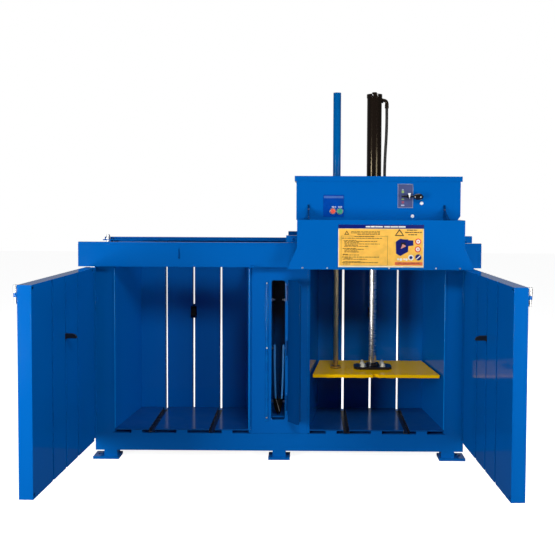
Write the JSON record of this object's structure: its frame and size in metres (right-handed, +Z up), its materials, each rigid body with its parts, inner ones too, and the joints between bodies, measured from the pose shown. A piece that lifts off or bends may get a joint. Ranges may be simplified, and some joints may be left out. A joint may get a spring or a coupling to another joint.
{
  "type": "recycling baler",
  "caption": "Twin-chamber vertical recycling baler with a roll-over press head, hinged chamber doors and a yellow platen on a hydraulic ram.",
  "frame": {"origin": "middle of the bounding box on the ground", "axes": "X to the right seen from the front, Y to the rear, Z up; the chamber openings face -Y"},
  "size_m": [1.9104, 1.2254, 1.717],
  "materials": {
    "blue_paint": "glossy",
    "dark_blue": "glossy",
    "yellow_paint": "glossy",
    "black_paint": "satin",
    "zinc": "bright",
    "chrome": "polished",
    "steel": "satin",
    "galvanised": "dull",
    "black_plastic": "matte",
    "rubber": "matte",
    "red_plastic": "glossy",
    "green_plastic": "glossy",
    "white_plastic": "glossy",
    "pale_blue_plastic": "glossy",
    "panel_print": "satin",
    "amber_print": "satin",
    "grey_print": "satin",
    "cast": "rough"
  },
  "bodies": {
    "frame": {"base_frame": "blue_paint", "foot_plates": "blue_paint", "chamber_floors": "blue_paint", "strap_channels": "galvanised", "back_walls": "blue_paint", "outer_walls": "blue_paint", "inner_walls": "blue_paint", "pillars": "blue_paint", "centre_column": "blue_paint", "tool_pocket": "dark_blue", "pocket_bolts": "zinc", "front_rail": "blue_paint", "rear_rail": "blue_paint", "running_bars": "blue_paint", "rail_buffers": "zinc", "hinge_lugs": "blue_paint", "carriage_frame": "blue_paint", "roller_blocks": "blue_paint", "hood": "blue_paint", "head_screws": "zinc", "instruction_plate": "amber_print", "control_housing": "blue_paint", "housing_lid": "blue_paint", "gussets": "blue_paint", "cylinder_barrel": "black_paint", "cylinder_cap": "black_paint", "cylinder_gland": "steel", "hose_fitting": "black_paint", "hose": "rubber", "guide_sleeve": "blue_paint", "oil_tank": "dark_blue", "pump_motor": "cast", "button_panel": "panel_print", "lever_plate": "grey_print", "hole_plugs": "white_plastic", "cutter_handles": "pale_blue_plastic", "cutter_blades": "steel"},
    "ram": {"piston_rod": "chrome", "rod_flange": "dark_blue", "flange_bolts": "zinc", "platen": "yellow_paint", "guide_rod": "chrome"},
    "left_door": {"left_door_shell": "blue_paint", "left_door_pan": "blue_paint", "left_door_hook": "black_plastic"},
    "right_door": {"right_door_shell": "blue_paint", "right_door_pan": "blue_paint", "right_door_hook": "black_plastic"},
    "left_bolt": {"left_door_bolt": "zinc"},
    "right_bolt": {"right_door_bolt": "zinc"},
    "slot_cover": {"slot_cover": "blue_paint"},
    "left_dog": {"left_dog": "black_plastic"},
    "right_dog": {"right_dog": "black_plastic"},
    "stop_button": {"stop_button": "red_plastic"},
    "start_button": {"start_button": "green_plastic"},
    "control_lever": {"control_lever": "black_plastic"},
    "front_left_roller": {"front_left_roller": "steel"},
    "front_right_roller": {"front_right_roller": "steel"},
    "rear_left_roller": {"rear_left_roller": "steel"},
    "rear_right_roller": {"rear_right_roller": "steel"}
  },
  "joints": [
    {"name": "ram_slide", "type": "slide", "parent": "frame", "child": "ram", "axis": [0, 0, 1], "range_m": [-0.02, 0.585]},
    {"name": "left_door_hinge", "type": "hinge", "parent": "frame", "child": "left_door", "pos_m": [-0.855, 0.12773, 0.51], "axis": [0, 0, 1], "range_deg": [-60, 92.9]},
    {"name": "right_door_hinge", "type": "hinge", "parent": "frame", "child": "right_door", "pos_m": [0.855, 0.12773, 0.51], "axis": [0, 0, -1], "range_deg": [-60, 92.9]},
    {"name": "left_bolt_slide", "type": "slide", "parent": "left_door", "child": "left_bolt", "axis": [0, 0, 1], "range_m": [0, 0.025]},
    {"name": "right_bolt_slide", "type": "slide", "parent": "right_door", "child": "right_bolt", "axis": [0, 0, 1], "range_m": [0, 0.025]},
    {"name": "slot_cover_hinge", "type": "hinge", "parent": "frame", "child": "slot_cover", "pos_m": [0.034, 0.15073, 0.51], "axis": [0, 0, 1], "range_deg": [-126, 10]},
    {"name": "left_dog_hinge", "type": "hinge", "parent": "frame", "child": "left_dog", "pos_m": [-0.45, 0.55073, 0.644], "axis": [1, 0, 0], "range_deg": [0, 20], "stiffness_Nm_per_rad": 2, "springref_deg": -14.32},
    {"name": "right_dog_hinge", "type": "hinge", "parent": "frame", "child": "right_dog", "pos_m": [0.45, 0.55073, 0.644], "axis": [1, 0, 0], "range_deg": [0, 20], "stiffness_Nm_per_rad": 2, "springref_deg": -14.32},
    {"name": "stop_button_press", "type": "slide", "parent": "frame", "child": "stop_button", "axis": [0, 1, 0], "range_m": [0, 0.0035], "stiffness_N_per_m": 800, "springref_m": -0.0015},
    {"name": "start_button_press", "type": "slide", "parent": "frame", "child": "start_button", "axis": [0, 1, 0], "range_m": [0, 0.0035], "stiffness_N_per_m": 800, "springref_m": -0.0015},
    {"name": "control_lever_hinge", "type": "hinge", "parent": "frame", "child": "control_lever", "pos_m": [0.584, 0.13773, 1.219], "axis": [0, 1, 0], "range_deg": [-25, 25], "stiffness_Nm_per_rad": 6},
    {"name": "front_left_roller_spin", "type": "hinge", "parent": "frame", "child": "front_left_roller", "pos_m": [0.058, 0.12973, 1.021], "axis": [0, 1, 0], "continuous": true},
    {"name": "front_right_roller_spin", "type": "hinge", "parent": "frame", "child": "front_right_roller", "pos_m": [0.842, 0.12973, 1.021], "axis": [0, 1, 0], "continuous": true},
    {"name": "rear_left_roller_spin", "type": "hinge", "parent": "frame", "child": "rear_left_roller", "pos_m": [0.058, 0.59073, 1.021], "axis": [0, 1, 0], "continuous": true},
    {"name": "rear_right_roller_spin", "type": "hinge", "parent": "frame", "child": "rear_right_roller", "pos_m": [0.842, 0.59073, 1.021], "axis": [0, 1, 0], "continuous": true}
  ]
}
